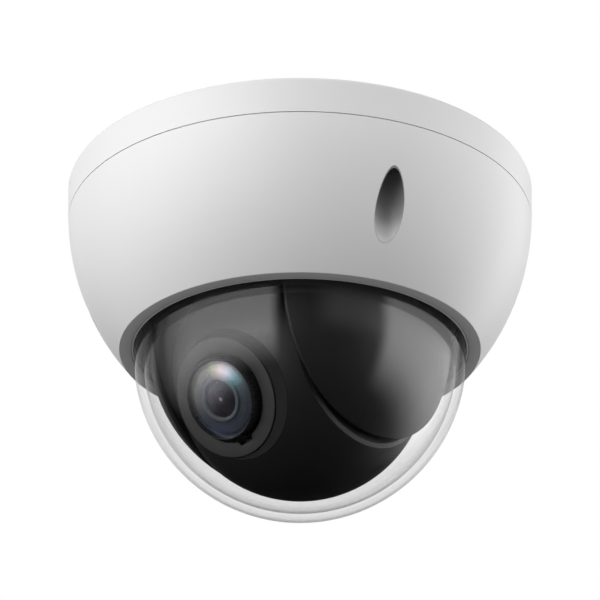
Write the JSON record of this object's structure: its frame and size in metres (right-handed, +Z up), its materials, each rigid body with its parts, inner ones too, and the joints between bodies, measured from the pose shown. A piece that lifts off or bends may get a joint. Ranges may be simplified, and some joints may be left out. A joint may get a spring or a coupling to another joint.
{
  "type": "security camera",
  "caption": "Ceiling-mounted pan-tilt security camera: round white housing, clear dome, and a black head with a zoom lens on a turning fork.",
  "frame": {"origin": "centre of the face that lies on the ceiling, on the pan axis", "axes": "+Z up into the ceiling along the pan axis; -Y is the front, the side the picture is taken from; +X completes the right-handed frame"},
  "size_m": [0.122, 0.122, 0.0892],
  "materials": {
    "housing": "white satin paint",
    "trim": "dark grey, fine matt",
    "dome": "clear polished polycarbonate",
    "rubber": "black matt",
    "black_plastic": "black, fine matt",
    "gloss_black": "black, polished",
    "barrel": "black, polished",
    "bezel": "dark grey, matt",
    "chassis": "black coated sheet",
    "screws": "plated",
    "motors": "bare steel cans",
    "bearing_steel": "polished steel",
    "bush_brass": "turned",
    "gear_plastic": "natural ivory",
    "circuit_board": "green solder mask",
    "chip": "black moulded",
    "button": "orange moulded",
    "front_glass": "coated lens glass",
    "inner_glass": "coated lens glass",
    "filter_glass": "tinted filter glass"
  },
  "bodies": {
    "housing": {"base": "housing", "base_seal": "rubber", "cable_gland": "rubber", "cover": "housing", "cover_screws": "screws", "trim_ring": "trim", "dome_seal": "rubber", "dome": "dome", "dome_retainer": "black_plastic", "retainer_screws": "screws", "chassis": "chassis", "chassis_screws": "screws", "main_board": "circuit_board", "processor": "chip", "card_slot": "motors", "plug_header": "gear_plastic", "board_screws": "screws", "bearing_outer_ring": "bearing_steel", "pan_motor": "motors", "pan_motor_screws": "screws"},
    "reset_key": {"reset_button": "button"},
    "ball_set": {"bearing_balls": "bearing_steel"},
    "pan_drive": {"pan_pinion": "gear_plastic"},
    "pan_unit": {"bearing_inner_ring": "bearing_steel", "turntable": "black_plastic", "hub_nut": "screws", "pan_gear": "gear_plastic", "left_arm": "black_plastic", "right_arm": "black_plastic", "arm_screws": "screws", "left_ear_cover": "gloss_black", "right_ear_cover": "gloss_black", "tilt_bushes": "bush_brass", "tilt_motor": "motors"},
    "tilt_drive": {"tilt_pinion": "gear_plastic"},
    "head": {"head_shell": "gloss_black", "head_cap": "gloss_black", "left_tilt_shaft": "bearing_steel", "right_tilt_shaft": "bearing_steel", "tilt_gear": "gear_plastic", "lens_bezel": "bezel", "lens_barrel": "barrel", "front_glass": "front_glass", "inner_lens": "inner_glass", "iris": "black_plastic", "lens_block": "black_plastic", "guide_rods": "bearing_steel", "zoom_motor": "motors", "focus_motor": "motors", "sensor_board": "circuit_board", "image_sensor": "chip"},
    "zoom_group": {"zoom_carriage": "black_plastic", "zoom_lens": "inner_glass"},
    "focus_group": {"focus_carriage": "black_plastic", "focus_lens": "inner_glass"},
    "zoom_spindle": {"zoom_screw": "bearing_steel"},
    "focus_spindle": {"focus_screw": "bearing_steel"},
    "filter_slide": {"night_filter": "filter_glass"}
  },
  "joints": [
    {"name": "pan", "type": "hinge", "parent": "housing", "child": "pan_unit", "pos_m": [0, 0, -0.0133], "axis": [0, 0, 1], "range_deg": [-175, 175]},
    {"name": "tilt", "type": "hinge", "parent": "pan_unit", "child": "head", "pos_m": [0, 0, -0.0514], "axis": [0.7431, -0.6691, 0], "range_deg": [-30, 60]},
    {"name": "ball_orbit", "type": "hinge", "parent": "housing", "child": "ball_set", "pos_m": [0, 0, -0.0133], "axis": [0, 0, 1], "range_deg": [-82, 82]},
    {"name": "pan_pinion_spin", "type": "hinge", "parent": "housing", "child": "pan_drive", "pos_m": [0.04197, 0.01782, -0.0139], "axis": [0, 0, 1], "range_deg": [-1230, 1230]},
    {"name": "tilt_pinion_spin", "type": "hinge", "parent": "pan_unit", "child": "tilt_drive", "pos_m": [-0.01969, 0.01773, -0.0334], "axis": [0.7431, -0.6691, 0], "range_deg": [-245, 125]},
    {"name": "zoom", "type": "slide", "parent": "head", "child": "zoom_group", "axis": [-0.5795, -0.6436, -0.5], "range_m": [-0.003, 0.003]},
    {"name": "focus", "type": "slide", "parent": "head", "child": "focus_group", "axis": [-0.5795, -0.6436, -0.5], "range_m": [-0.0015, 0.0015]},
    {"name": "zoom_screw_spin", "type": "hinge", "parent": "head", "child": "zoom_spindle", "pos_m": [-0.01055, 0.00412, -0.04447], "axis": [-0.5795, -0.6436, -0.5], "range_deg": [-1090, 1090]},
    {"name": "focus_screw_spin", "type": "hinge", "parent": "head", "child": "focus_spindle", "pos_m": [0.00669, -0.00064, -0.05833], "axis": [-0.5795, -0.6436, -0.5], "range_deg": [-550, 550]},
    {"name": "night_filter_shift", "type": "slide", "parent": "head", "child": "filter_slide", "axis": [0.7431, -0.6691, 0], "range_m": [-0.008, 0]},
    {"name": "reset_press", "type": "slide", "parent": "housing", "child": "reset_key", "axis": [0, 0, 1], "range_m": [0, 0.00025], "stiffness_N_per_m": 4000}
  ],
  "couplings": [
    {"joint": "pan_pinion_spin", "follows": "pan", "ratio": -7},
    {"joint": "ball_orbit", "follows": "pan", "ratio": 0.4618},
    {"joint": "tilt_pinion_spin", "follows": "tilt", "ratio": -4},
    {"joint": "zoom_screw_spin", "follows": "zoom", "rad_per_m": 6283.2},
    {"joint": "focus_screw_spin", "follows": "focus", "rad_per_m": 6283.2}
  ]
}
